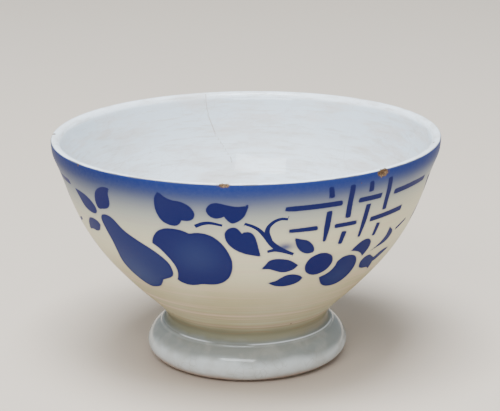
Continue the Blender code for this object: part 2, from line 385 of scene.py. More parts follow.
def body_section(shape, foot):
    """Floor centre, up the inside, over the lip, down the outside, out onto the foot and in underneath.

    Returns the section's points and the length along it at which the outside starts.
    """
    outer = outer_wall(shape)
    inner = inner_wall(shape, outer)
    lip = lip_curve(shape, inner[-1])
    wall = outer[outer[:, 1] > shape.neck_height + FILLET_TOP][::-1]
    flare = flare_curve(shape, foot)
    landing = int(np.argmin(np.abs(flare[:, 0] - shape.neck_radius - FILLET_REACH)))
    end_way = directions(flare)[landing]
    end = flare[landing] + FILLET_FILM * np.array((-end_way[1], end_way[0]))
    turn_out = fillet(wall[-1], directions(wall)[-1], end, end_way)[1:]
    seat = shape.neck_radius - foot.seat_width
    hidden = through((end + end_way * 0.3 * MM - (0.0, 0.25 * MM), end - (0.6 * MM, TUCK + 0.2 * MM),
                      (shape.neck_radius - 2 * MM, shape.neck_height - 1.4 * MM),
                      (seat, underside(shape, seat))), 6)
    radii = np.linspace(seat, 0.0, 24)[1:]
    below = np.column_stack((radii, underside(shape, radii)))
    before = np.vstack((inner, lip))
    section = np.vstack((before, wall, turn_out, hidden, below))
    lengths = np.linalg.norm(np.diff(np.vstack((before, wall[:1])), axis=0), axis=1)
    return section, float(lengths.sum())


def foot_section(shape, foot):
    """The ring's section: seat, flared outside with its shoulder, rounded edge, flat contact and hollow."""
    radii = np.linspace(shape.neck_radius - foot.seat_width, shape.neck_radius, 8)
    seat = np.column_stack((radii, underside(shape, radii) + 0.05 * MM))
    seat[1:, 1] -= (SLIP_GAP + 0.05 * MM) * np.linspace(0.0, 1.0, 7)
    flare = flare_curve(shape, foot)
    turn = np.linspace(0.0, math.pi / 2, 40)[1:]
    edge = np.column_stack((foot.contact_radius + (foot.radius - foot.contact_radius) * np.cos(turn),
                            foot.bulge_height * (1.0 - np.sin(turn))))
    inside = through(((foot.contact_radius - foot.contact_width, 0.0), *FOOT_INSIDE, tuple(seat[0])), 8)[:-1]
    return np.vstack((seat, flare[1:], edge, inside))


def spaced(section, spacing, closed=False):
    """The section again with points as far apart as spacing says, and the length along it at each.

    The running sum of length / spacing counts the points, so equal steps of it give the new ones.
    """
    if closed:
        section = np.vstack((section, section[:1]))
    steps = np.linalg.norm(np.diff(section, axis=0), axis=1)
    length = np.concatenate(([0.0], np.cumsum(steps)))
    gap = spacing(length, section)
    count = np.concatenate(([0.0], np.cumsum(steps * 2.0 / (gap[1:] + gap[:-1]))))
    at = np.interp(np.linspace(0.0, count[-1], int(count[-1]) + 2), count, length)
    points = np.column_stack([np.interp(at, length, section[:, k]) for k in (0, 1)])
    if closed:
        return points[:-1], at[:-1]
    return points, at


def crowded_angles(count, places, width=2.4, gain=4.0):
    """Angles right round, closer together near the given places: equal steps of the integral of
    1 + gain * sum of bell curves."""
    fine = np.linspace(-180.0, 180.0, 7201)
    apart = (fine[:, None] - np.array(places)[None, :] + 180.0) % 360.0 - 180.0
    density = 1.0 + gain * np.exp(-(apart / width) ** 2).sum(axis=1)
    total = np.concatenate(([0.0], np.cumsum((density[1:] + density[:-1]) / 2)))
    return np.interp(np.arange(count) * total[-1] / count, total, fine)


# Meshes

def turn_round(points, angles):
    """Grid of places: (radius sin angle, -radius cos angle, height), a row for each point of the section."""
    turn = np.radians(angles)[None, :]
    radii, heights = points[:, 0, None], points[:, 1, None]
    return np.stack((radii * np.sin(turn), -radii * np.cos(turn), heights + 0.0 * turn), axis=-1)


def grid_faces(rows, columns, start, closed):
    """Quads between each row and the next, and between the last row and the first if closed."""
    row = np.arange(rows if closed else rows - 1)[:, None]
    column = np.arange(columns)[None, :]
    following, beside = (row + 1) % rows, (column + 1) % columns
    corners = (row * columns + column, following * columns + column,
               following * columns + beside, row * columns + beside)
    return np.stack(corners, axis=-1).reshape(-1, 4) + start


def solid(name, grid, poles=None):
    """A smooth closed mesh from a grid of places that joins up sideways.

    With poles, the grid is capped by a fan of triangles round each of the two points. Without, its last row
    joins its first. The grid runs clockwise about the solid's material, seen along the turn.
    """
    rows, columns = grid.shape[:2]
    places = grid.reshape(-1, 3)
    faces = grid_faces(rows, columns, 0, poles is None).tolist()
    if poles is not None:
        places = np.vstack((places, poles))
        first, last = rows * columns, rows * columns + 1
        column = np.arange(columns)
        beside = (column + 1) % columns
        end = (rows - 1) * columns
        faces += np.column_stack((np.full(columns, first), column, beside)).tolist()
        faces += np.column_stack((np.full(columns, last), end + beside, end + column)).tolist()
    mesh = bpy.data.meshes.new(name)
    mesh.from_pydata(places.tolist(), [], faces)
    mesh.shade_smooth()
    piece = bpy.data.objects.new(name, mesh)
    bpy.context.scene.collection.objects.link(piece)
    return piece


def paint(piece, name, values, pole_values):
    """Stores one number or one vector for each vertex, with the poles' own last."""
    flat = np.concatenate((np.asarray(values, dtype=float).reshape(-1), np.ravel(pole_values).astype(float)))
    vector = np.ndim(values) == 3
    attribute = piece.data.attributes.new(name, "FLOAT_VECTOR" if vector else "FLOAT", "POINT")
    attribute.data.foreach_set("vector" if vector else "value", flat)


# Stencil

OUTLINE_STEPS, STROKE_STEPS = 6, 8      # points from each given point to the next
STENCIL_MARGIN = 5.0        # millimetres round a shape within which its distance is worked out
FAR = 9.0                   # a distance beyond any that shows


def outline_curve(points):
    """A closed smooth curve through an outline's points, broken at its corners."""
    places = [point[:2] for point in points]
    corners = [i for i, point in enumerate(points) if len(point) > 2]
    if not corners:
        looped = through(places[-3:] + places + places[:3], OUTLINE_STEPS)
        return looped[3 * OUTLINE_STEPS:-2 * OUTLINE_STEPS - 1]
    ring = places[corners[0]:] + places[:corners[0]] + [places[corners[0]]]
    breaks = [i - corners[0] for i in corners] + [len(places)]
    stretches = [through(ring[a:b + 1], OUTLINE_STEPS)[:-1] for a, b in zip(breaks[:-1], breaks[1:])]
    return np.vstack(stretches)


def lath_outline(points):
    """A lath's outline from its centre line and half widths, as four or more corners."""
    line = np.array(points)
    along = np.gradient(line[:, :2], axis=0)
    along /= np.linalg.norm(along, axis=1)[:, None]
    side = np.column_stack((-along[:, 1], along[:, 0])) * (line[:, 2:] - LATH_ROUNDING)
    ends = np.zeros_like(along)
    ends[0], ends[-1] = along[0] * LATH_ROUNDING, -along[-1] * LATH_ROUNDING
    middle = line[:, :2] + ends
    return np.vstack((middle + side, (middle - side)[::-1]))


def distance_to_outline(outline, places):
    """Distance to a closed outline, negative inside it by the even-odd rule."""
    a, b = outline[None, :, :], np.roll(outline, -1, axis=0)[None, :, :]
    p = places[:, None, :]
    edge = b - a
    share = np.clip(((p - a) * edge).sum(-1) / np.maximum((edge * edge).sum(-1), 1e-12), 0.0, 1.0)
    nearest = np.sqrt((((p - a) - share[..., None] * edge) ** 2).sum(-1).min(axis=1))
    crosses = (a[..., 1] > p[..., 1]) != (b[..., 1] > p[..., 1])
    rise = np.where(np.abs(edge[..., 1]) < 1e-12, 1e-12, edge[..., 1])
    left = p[..., 0] < a[..., 0] + (p[..., 1] - a[..., 1]) / rise * edge[..., 0]
    inside = (crosses & left).sum(axis=1) % 2 == 1
    return np.where(inside, -nearest, nearest)


def ribbon(line, places):
    """Sideways offset from a line of (across, along, half width) points, over the half width, and nearness.

    Nearness is 1 beside the line and falls through a half at a half width past either end.
    """
    a, b = line[None, :-1, :], line[None, 1:, :]
    p = places[:, None, :]
    edge = (b - a)[..., :2]
    size = np.maximum((edge * edge).sum(-1), 1e-12)
    share = ((p - a[..., :2]) * edge).sum(-1) / size
    held = np.clip(share, 0.0, 1.0)
    away = (p - a[..., :2]) - held[..., None] * edge
    distance = np.sqrt((away ** 2).sum(-1))
    best = distance.argmin(axis=1)
    row = np.arange(len(places))
    way = edge[0, best] / np.sqrt(size[0, best])[:, None]
    offset = way[:, 0] * away[row, best, 1] - way[:, 1] * away[row, best, 0]
    past = np.abs((away[row, best] * way).sum(-1))
    width = a[0, best, 2] + held[row, best] * (b - a)[0, best, 2]
    near = np.minimum(1.0 - past / (2.0 * width), 2.0 - distance[row, best] / (3.0 * width))
    return offset / width, np.clip(near, 0.0, 1.0)


class Wall:
    """A band of the mesh's rows as a flat sheet on which shapes are laid."""

    def __init__(self, points, run, angles, rows):
        self.rows = rows
        self.heights = points[rows, 1] / MM
        self.radii = points[rows, 0] / MM
        self.runs = run[rows] / MM
        self.angles = angles
        order = np.argsort(self.heights)
        self.sorted_heights, self.sorted_radii = self.heights[order], self.radii[order]
        self.sorted_runs = self.runs[order]

    def radius_at(self, heights):
        return np.interp(heights, self.sorted_heights, self.sorted_radii)

    def run_at(self, heights):
        return np.interp(heights, self.sorted_heights, self.sorted_runs)

    def near(self, points, turn, margin):
        """Rows, columns and flat places of the vertices within a margin of the points."""
        low, high = points[:, 1].min() - margin, points[:, 1].max() + margin
        middle = (points[:, 0].min() + points[:, 0].max()) / 2
        half = (points[:, 0].max() - points[:, 0].min()) / 2
        half += math.degrees(margin / self.radius_at(low))
        local = (self.angles - turn - middle + 180.0) % 360.0 - 180.0
        columns = np.flatnonzero(np.abs(local) <= half)
        rows = np.flatnonzero((self.heights >= low) & (self.heights <= high))
        across = np.radians(local[columns])[None, :] * self.radii[rows][:, None]
        along = np.broadcast_to(-self.runs[rows][:, None], across.shape)
        return rows, columns, np.column_stack((across.ravel(), along.ravel())), middle

    def flat(self, points, middle):
        """The points laid flat about the same middle."""
        across = np.radians(points[:, 0] - middle) * self.radius_at(points[:, 1])
        return np.column_stack((across, -self.run_at(points[:, 1])))


def stencil_layers(wall, shape_of):
    """Distance to the nearest stencil edge and the wash inside it, for every vertex of the grid."""
    distance = np.full(shape_of, STENCIL_MARGIN)
    wash = np.zeros(shape_of)
    smudge = np.zeros(shape_of)
    for turn, lowest in REPEATS:
        for thinness, glow, outline in SHAPES.values():
            curve = outline_curve(outline)
            if curve[:, 0].mean() < lowest:
                continue
            rows, columns, places, middle = wall.near(curve, turn, STENCIL_MARGIN)
            found = distance_to_outline(wall.flat(curve, middle), places)
            tone = np.full(len(places), thinness)
            if glow:
                angle, height, radius, gain = glow
                centre = wall.flat(np.array([[angle, height]]), middle)[0]
                tone += gain * np.exp(-(((places - centre) / radius) ** 2).sum(-1))
            lay(distance, wash, wall.rows[rows], columns, found, tone)
        for lath in LATHS:
            line = np.array(lath)
            if line[:, 0].mean() < lowest:
                continue
            rows, columns, places, middle = wall.near(line, turn, STENCIL_MARGIN)
            flat = np.column_stack((wall.flat(line, middle), line[:, 2]))
            found = distance_to_outline(lath_outline(flat), places) - LATH_ROUNDING
            lay(distance, wash, wall.rows[rows], columns, found, np.full(len(places), LATH_WASH))
        angle, height, radius = SMUDGE
        rows, columns, places, middle = wall.near(np.array([[angle, height]]), turn, 3.0 * radius)
        centre = wall.flat(np.array([[angle, height]]), middle)[0]
        soft = 0.9 * np.exp(-(((places - centre) / (radius, radius * 0.55)) ** 2).sum(-1))
        window = np.ix_(wall.rows[rows], columns)
        smudge[window] = np.maximum(smudge[window], soft.reshape(len(rows), len(columns)))
    return distance, wash, smudge


def lay(distance, wash, rows, columns, found, tone):
    """Keeps the nearer distance, and the wash of the shape that it belongs to."""
    window = np.ix_(rows, columns)
    found = found.reshape(len(rows), len(columns))
    nearer = found < distance[window]
    distance[window] = np.where(nearer, found, distance[window])
    wash[window] = np.where(nearer, tone.reshape(found.shape), wash[window])


def stroke_layer(wall, shape_of, strokes, repeats):
    """Offset over half width and nearness, as a vector for each vertex, for strokes that never meet."""
    layer = np.zeros((*shape_of, 3))
    layer[..., 0] = FAR
    for turn, lowest in repeats:
        for stroke in strokes:
            curve = through(stroke, STROKE_STEPS)
            if curve[:, 0].mean() < lowest:
                continue
            rows, columns, places, middle = wall.near(curve, turn, STENCIL_MARGIN)
            line = np.column_stack((wall.flat(curve, middle), curve[:, 2]))
            offset, near = ribbon(line, places)
            window = np.ix_(wall.rows[rows], columns)
            near = near.reshape(len(rows), len(columns))
            nearer = near > layer[window][..., 1]
            layer[(*window, 0)] = np.where(nearer, offset.reshape(near.shape), layer[(*window, 0)])
            layer[(*window, 1)] = np.where(nearer, near, layer[(*window, 1)])
    return layer


def ripple(turn, along, count, seed):
    """Smooth irregular waves in -1..1: a sum of sines of angle and length with fixed random phases."""
    random = np.random.default_rng(seed)
    total = np.zeros(np.broadcast(turn, along).shape)
    for k in range(count):
        waves, stretch, phase = random.integers(1, 7), random.uniform(10.0, 60.0), random.uniform(0.0, 6.28)
        total += np.sin(waves * turn + along * stretch + phase) / count
    return total


def bite_lip(grid, normals, wall_run, angles, radius):
    """Presses each chip into the lip along the surface's normal, and returns the distance to bare clay.

    A chip is an ellipse of run and length round the lip, and its depth is d (1 - q)^0.6 for the share q.
    """
    bare = np.full(grid.shape[:2], FAR)
    for number, (angle, run, half_width, half_height, depth) in enumerate(CHIPS):
        across = np.radians((angles - angle + 180.0) % 360.0 - 180.0)[None, :] * radius / MM
        down = wall_run[:, None] / MM - run
        jag = 1.0 + 0.16 * np.sin(3.1 * across + number) + 0.12 * np.sin(5.3 * across - 2.0 * down)
        share = ((across / half_width) ** 2 + (down / half_height) ** 2) * jag
        rough = 1.0 + 0.35 * np.sin(4.7 * across + 2.9 * down + number) * np.sin(3.3 * across - 4.1 * down)
        sunk = depth * MM * rough * np.clip(1.0 - share, 0.0, 1.0) ** 0.6
        grid -= normals * sunk[..., None]
        bare = np.minimum(bare, (np.sqrt(share) - 1.0) * min(half_width, half_height))
    return bare


# Shader expressions

def maths(operation, swapped=False):
    """A method that adds one math node. Swapped, the other value comes first."""
    def method(self, other=0.0):
        return self.graph.math(operation, *((other, self) if swapped else (self, other)))
    return method


class Value:
    """A number or vector that flows between nodes. Arithmetic on it adds nodes."""

    def __init__(self, graph, socket):
        self.graph = graph
        self.socket = socket

    __add__ = __radd__ = maths("ADD")
    __sub__ = maths("SUBTRACT")
    __rsub__ = maths("SUBTRACT", swapped=True)
    __mul__ = __rmul__ = maths("MULTIPLY")
    __truediv__ = maths("DIVIDE")
    __pow__ = maths("POWER")
    __abs__ = maths("ABSOLUTE")
    exp = maths("EXPONENT")
    smallest = maths("MINIMUM")
    largest = maths("MAXIMUM")

    def __neg__(self):
        return self * -1.0

    def rise(self, low, high):
        """0 below low and 1 above high, with a smooth step between. High may be the lower one."""
        return self.graph.node("ShaderNodeMapRange", {"interpolation_type": "SMOOTHSTEP"},
                               {0: self, 1: low, 2: high, 3: 0.0, 4: 1.0})

    def times(self, factors):
        """A vector multiplied by a vector."""
        return self.graph.vector("MULTIPLY", self, factors)

    def apart(self, place):
        """Distance of a vector from a place."""
        return self.graph.vector("DISTANCE", self, place, "Value")

    def part(self, index):
        """One of a vector's three numbers."""
        return self.graph.node("ShaderNodeSeparateXYZ", {}, {0: self}, index)


class Graph:
    """A material with one principled shader, whose nodes are added by expressions."""

    def __init__(self, name):
        self.material = bpy.data.materials.new(name)
        self.material.use_nodes = True
        self.tree = self.material.node_tree
        self.shader = self.tree.nodes["Principled BSDF"]

    def feed(self, socket, value):
        if isinstance(value, Value):
            self.tree.links.new(value.socket, socket)
        else:
            socket.default_value = tuple(value) if hasattr(value, "__len__") else value

    def node(self, kind, settings, sockets, output=0):
        """Adds a node, makes its settings and then feeds its sockets. Returns one of its outputs."""
        node = self.tree.nodes.new(kind)
        for name, value in settings.items():
            setattr(node, name, value)
        for key, value in sockets.items():
            self.feed(node.inputs[key], value)
        return Value(self, node.outputs[output])

    def math(self, operation, *values):
        return self.node("ShaderNodeMath", {"operation": operation}, dict(enumerate(values)))

    def vector(self, operation, first, second, output=0):
        return self.node("ShaderNodeVectorMath", {"operation": operation}, {0: first, 1: second}, output)

    def mix(self, share, first, second):
        """From the first colour to the second as the share goes from 0 to 1."""
        return self.node("ShaderNodeMix", {"data_type": "RGBA", "clamp_factor": True},
                         {0: share, 6: first, 7: second}, 2)

    def coats(self, base, *layers):
        """The base colour with each (share, colour) laid over it in turn."""
        for share, tint in layers:
            base = self.mix(share, base, tint)
        return base

    def place(self):
        return self.node("ShaderNodeTexCoord", {}, {}, "Object")

    def attribute(self, name, output="Fac"):
        return self.node("ShaderNodeAttribute", {"attribute_name": name}, {}, output)

    def noise(self, place, scale, detail=2.0, roughness=0.5):
        """Cloudy values round a half."""
        return self.node("ShaderNodeTexNoise", {},
                         {"Vector": place, "Scale": scale, "Detail": detail, "Roughness": roughness})

    def streaks(self, place, level, upright, detail, roughness=0.5):
        """Noise with one scale across the axis and another along it."""
        return self.noise(place.times((level, level, upright)), 1.0, detail, roughness)

    def cells(self, place, scale, feature, output="Distance"):
        return self.node("ShaderNodeTexVoronoi", {"feature": feature}, {"Vector": place, "Scale": scale}, output)

    def bump(self, height, distance):
        return self.node("ShaderNodeBump", {}, {"Distance": distance, "Height": height})

    def surface(self, varying, fixed):
        """Links what varies and sets what doesn't, on the shader's own sockets."""
        for name, value in {**varying, **fixed}.items():
            self.feed(self.shader.inputs[name], value)
        return self.material


GLAZE = {"IOR": 1.5, "Coat Roughness": 0.045, "Coat IOR": 1.5, "Specular IOR Level": 0.0}

# Tints that streak, stain and age the glazes; SHADE and part of the foot's wear tint are painted shade
ROSE, MOSS, CHALK = (0.62, 0.46, 0.36, 1.0), (0.50, 0.50, 0.36, 1.0), (0.70, 0.70, 0.66, 1.0)
PEARL, SHADE, OLD_LIP = (0.70, 0.70, 0.68, 1.0), (0.56, 0.60, 0.64, 1.0), (0.09, 0.09, 0.11, 1.0)
TEA, TAN = (0.60, 0.52, 0.47, 1.0), (0.52, 0.45, 0.38, 1.0)
CRAZE, HAIR = (0.42, 0.34, 0.28, 1.0), (0.36, 0.27, 0.20, 1.0)
SLIP, GRIT, MUSHROOM = (0.30, 0.19, 0.11, 1.0), (0.36, 0.22, 0.12, 1.0), (0.42, 0.40, 0.35, 1.0)
# The foot's wear tint is real wear at the contact and painted shade where it climbs the ring's sides.
FOOT_CRAZE, FOOT_WEAR_AND_SHADE, FOOT_CLAY = (0.25, 0.21, 0.17, 1.0), (0.38, 0.26, 0.20, 1.0), (0.33, 0.20, 0.13, 1.0)


def crackle(graph, place, scale, width):
    """Fine crazing: the edges of warped cells, broken up so that only some of them show."""
    bent = graph.vector("ADD", place, graph.noise(place, scale * 1.7) * (0.35 / scale))
    shown = graph.noise(place, scale * 0.35, 1.0).rise(0.42, 0.62)
    return graph.cells(bent, scale, "DISTANCE_TO_EDGE").rise(width, 0.0) * shown


def specks(graph, place, scale, radius, share):
    """Sparse round specks of iron, one in some of the cells."""
    chosen = graph.cells(place, scale, "F1", "Color").part(0).rise(1.0 - share, 1.01 - share)
    return graph.cells(place, scale, "F1").rise(radius, radius * 0.5) * chosen


def axis_distance(place):
    """Distance from the axis, in millimetres."""
    return place.times((1.0, 1.0, 0.0)).apart((0.0, 0.0, 0.0)) / MM


def skirt(graph, place, height):
    """Where the body's glaze has run out onto the foot ring: 1 outside the neck and low, 0 above."""
    out = axis_distance(place) + (graph.noise(place, 120.0) - 0.5) * 1.5
    return out.rise(33.4, 35.4) * height.rise(19.5, 17.0)


def painted_highlight_line(graph, place, height):
    """A painted highlight: the pale, broken line round the edge of the foot's shoulder."""
    shown = graph.noise(place, 38.0, 1.0).rise(0.47, 0.56)
    line = abs(axis_distance(place) - 35.6).rise(0.42, 0.10)
    return line * height.rise(19.0, 17.5) * height.rise(10.0, 11.0) * shown


def outside_glaze(graph, colours, place, run):
    """Glaze tinted cream and deeper low down as painted warm bounce light and painted shade, with warm turning
    streaks, an olive neck and a sprayed cobalt band.

    The band's strength is exp(-share^2.25), for the run's share of how far the spray reaches.
    """
    across, height = place.part(0), place.part(2) / MM
    drift, fine = graph.noise(place, 26.0, 3.0), graph.noise(place, 850.0)
    streak = graph.streaks(place, 9.0, 520.0, 3.0, 0.6)
    # Where the lower belly's painted shade lies, darker towards the bottom; the same mask strengthens the streaks.
    low = (height + (drift - 0.5) * 14.0).rise(66.0, 32.0)
    wave = (graph.streaks(place, 60.0, 0.0, 2.0) - 0.5) * 6.0
    neck = (height + wave * 0.35).rise(25.0, 19.0)
    crease = abs(height - 23.6).rise(0.55, 0.1) * 0.5 + abs(height - 22.3).rise(0.5, 0.1) * 0.45
    seam = abs(height - 20.0 - wave).rise(0.45, 0.05) * graph.noise(place, 70.0, 1.0).rise(0.35, 0.6)
    below = (run + 0.3 + (drift - 0.5) * 2.0 + (fine - 0.5) * 0.5).largest(0.001)
    share = below / (13.2 - across * 34.0)
    cream = graph.coats(
        colours.cream,
        (low, colours.shaded_cream),
        (streak.rise(0.46, 0.70) * (0.26 + 0.44 * low), ROSE),
        (streak.rise(0.52, 0.28) * (0.16 + 0.36 * low), MOSS),
        (drift.rise(0.3, 0.75) * 0.12, CHALK),
        # The olive is thick glaze round the neck; its share rising towards -X and falling towards +X is painted
        # shade.
        (neck * (0.92 - across * 8.0), colours.olive),
        (skirt(graph, place, height), colours.grey_deep),
        ((crease + seam * 0.6).smallest(1.0) * 0.7, SLIP),
        ((-((share * 0.62) ** 3.0)).exp() * 0.50, colours.haze),
        # Painted highlight: a pale broken line at the edge of the foot's shoulder.
        (painted_highlight_line(graph, place, height) * 0.8, colours.lip))
    # Painted shade: the band darkens towards -X.
    cobalt = graph.mix((-across / MM).rise(5.0, 75.0) * 0.6, colours.cobalt, colours.shaded_cobalt)
    sprayed = ((-(share ** 2.25)).exp() * (1.0 + (fine - 0.5) * 0.06)).smallest(1.0)
    return graph.mix(sprayed, cream, cobalt), fine, drift


def stencil_colour(graph, colours, base, fine, drift):
    """Stencilled blue over the ground: full at a shape's edge and thinner where the wash says."""
    distance = graph.attribute("stencil") + (fine - 0.5) * 0.18
    drawn = distance.rise(0.46, -0.02)
    for name in STROKES:
        vein = graph.attribute(name, "Vector")
        drawn = drawn.largest((1.0 - abs(vein.part(0))).rise(-0.28, 0.02) * vein.part(1).rise(0.42, 0.58))
    rim = distance.rise(-1.6, -0.1)
    thin = graph.attribute("wash") * (1.0 - rim * 0.55) + (drift - 0.5) * 0.10 + (fine - 0.5) * 0.06
    halo = (distance.rise(1.6, 0.0) * 0.16 + graph.attribute("smudge")).smallest(0.9)
    ink = graph.mix(thin.largest(0.0), colours.navy, colours.faded)
    return graph.coats(base, (halo, colours.cobalt), (drawn, ink))


def inside_glaze(graph, colours, place, run):
    """White glaze with a cool tint of painted skylight, greyer below the lip as painted shade, with stain streaks,
    faint crazing and a hairline crack.
    """
    drift = graph.noise(place, 18.0, 4.0)
    streak = graph.streaks(place, 36.0, 200.0, 4.0, 0.65)
    scratch = graph.streaks(place, 75.0, 700.0, 3.0, 0.6)
    crack = graph.attribute("crack", "Vector")
    hair = (1.0 - abs(crack.part(0))).rise(-0.8, 0.6) * crack.part(1).rise(0.3, 0.7)
    return graph.coats(
        colours.white,
        (drift.rise(0.35, 0.75) * 0.22, PEARL),
        # Painted shade: the inner wall greyer below the lip.
        (run.rise(-34.0, -8.0) * 0.75, SHADE),
        ((run + (drift - 0.5) * 1.5).rise(-6.2, -4.4), colours.lip),
        (streak.rise(0.44, 0.70) * 0.62, TEA),
        (scratch.rise(0.50, 0.68) * 0.42, TAN),
        (crackle(graph, place, 150.0, 0.035) * 0.20, CRAZE),
        (hair * 0.75, HAIR))


def bowl_material(look, marks):
    """The whole body's glaze: cream and cobalt outside, white inside, clay in the chips."""
    graph = Graph("glaze_cream")
    place, run, bare_by = graph.place(), graph.attribute("run"), graph.attribute("bare")
    outside, fine, drift = outside_glaze(graph, look, place, run)
    over = (run + (drift - 0.5) * 0.7).rise(-0.75, -0.35)
    edge = abs(run + 0.45 + (drift - 0.5) * 0.6).rise(0.40, 0.05)
    wear = edge * (graph.noise(place, 130.0, 3.0).rise(0.48, 0.62) + 0.25)
    dots = specks(graph, place, 62.0, 0.045, 0.06)
    for spot, size in marks:
        dots = dots.largest(place.apart(spot).rise(size, size * 0.6))
    glazed = graph.coats(
        inside_glaze(graph, look, place, run),
        (over, stencil_colour(graph, look, outside, fine, drift)),
        ((wear * 0.8).smallest(0.85), OLD_LIP),
        (dots * 0.85 * over, look.stain),
        (bare_by.rise(0.55, 0.05) * 0.4, look.stain))
    bare = (bare_by + (fine - 0.5) * 0.5).rise(0.12, -0.06)
    gritty = graph.noise(place, 1500.0)
    clay = graph.coats(look.clay, (gritty.rise(0.42, 0.62), look.stain),
                       (graph.noise(place, 700.0, 1.0).rise(0.56, 0.74) * 0.5, GRIT))
    skin = graph.noise(place, 95.0) * 0.6 + graph.streaks(place, 10.0, 420.0, 2.0) * 0.25
    return graph.surface(
        {"Base Color": graph.mix(bare, glazed, clay),
         "Roughness": 0.42 + bare * 0.45 + (fine - 0.5) * 0.08,
         "Coat Weight": (0.75 - over * 0.53) * (1.0 - bare * 0.97),
         "Normal": graph.bump(skin + bare * gritty * 2.0, 0.00009)},
        GLAZE)


def foot_material(look):
    """Grey glaze, deep on the flare and pale on the bulge, going bare and brown at the contact."""
    graph = Graph("glaze_grey")
    place = graph.place()
    height = place.part(2) / MM
    drift, cloud, fine = graph.noise(place, 42.0, 3.0), graph.noise(place, 150.0, 3.0), graph.noise(place, 900.0)
    bare = (height + (cloud - 0.5) * 0.9).rise(0.75, 0.35)
    glazed = graph.coats(
        look.grey,
        ((height + (drift - 0.5) * 6.0 + (cloud - 0.5) * 2.0).rise(7.6, 11.6), look.grey_deep),
        (cloud.rise(0.42, 0.7) * 0.34, MUSHROOM),
        # Painted highlight: a pale broken line at the edge of the foot's shoulder.
        (painted_highlight_line(graph, place, height) * 0.8, look.lip),
        (crackle(graph, place, 260.0, 0.05) * 0.24, FOOT_CRAZE),
        (specks(graph, place, 110.0, 0.05, 0.10) * 0.7, look.stain),
        # Brown wear at the contact, and painted shade where it climbs higher on the ring's left and right sides.
        ((height + (drift - 0.5) * 4.2 - abs(place.part(0)) * 50.0).rise(3.4, 0.4) * 0.85, FOOT_WEAR_AND_SHADE),
        (bare, graph.mix(cloud, FOOT_CLAY, look.clay)))
    return graph.surface(
        {"Base Color": glazed,
         "Roughness": 0.40 + bare * 0.45 + (fine - 0.5) * 0.08,
         "Coat Weight": 1.0 - bare * 0.97,
         "Normal": graph.bump(graph.noise(place, 110.0) + cloud * 0.15 + bare * fine, 0.00012)},
        {**GLAZE, "Coat Roughness": 0.12})


def floor_material(studio):
    """Plain pale floor with the slightest unevenness."""
    graph = Graph("studio_floor")
    drift = graph.noise(graph.place(), 6.0, 3.0)
    tint = graph.mix(drift * 0.08, studio.floor_colour, (0.50, 0.39, 0.29, 1.0))
    return graph.surface({"Base Color": tint, "Roughness": 0.62 + drift * 0.06}, {"Specular IOR Level": 0.25})


# Pieces

# How far apart the body's rows are, and the heights and the radius at which that changes
BAND_SPACING, LIP_SPACING, INSIDE_SPACING = 0.8 * MM, 0.36 * MM, 3.4 * MM
LOW_SPACING, NECK_SPACING = 1.2 * MM, 0.5 * MM
BAND_FROM, NECK_UNDER, HIDDEN_WITHIN = 41 * MM, 26 * MM, 31 * MM
EDGE_SPACING, FOOT_SPACING = 0.09 * MM, 0.36 * MM
CREASES = ((23.7, 0.10, 0.32), (22.3, 0.08, 0.28))     # height, depth and half width, in millimetres
# Specks and drips on the outside: angle, height and radius, in degrees and millimetres
SPOTS = ((29.0, 22.9, 0.45), (-55.0, 23.8, 0.5), (33.0, 91.4, 0.3), (-96.0, 64.0, 0.45))


def body_spacing(outside_from):
    """How far apart the body's rows are: finest on the lip, fine where the stencil is, coarse inside."""
    def spacing(length, section):
        run = length - outside_from
        lip = np.exp(-((run + 1.2 * MM) / (3.2 * MM)) ** 4)
        outside = np.where(section[:, 1] > BAND_FROM, BAND_SPACING, LOW_SPACING)
        outside = np.where(section[:, 1] < NECK_UNDER, NECK_SPACING, outside)
        wide = np.where(run > 0, outside, INSIDE_SPACING)
        hidden = (run > 0) & (section[:, 0] < HIDDEN_WITHIN)
        return np.where(hidden, INSIDE_SPACING, wide * (1 - lip) + LIP_SPACING * lip)
    return spacing


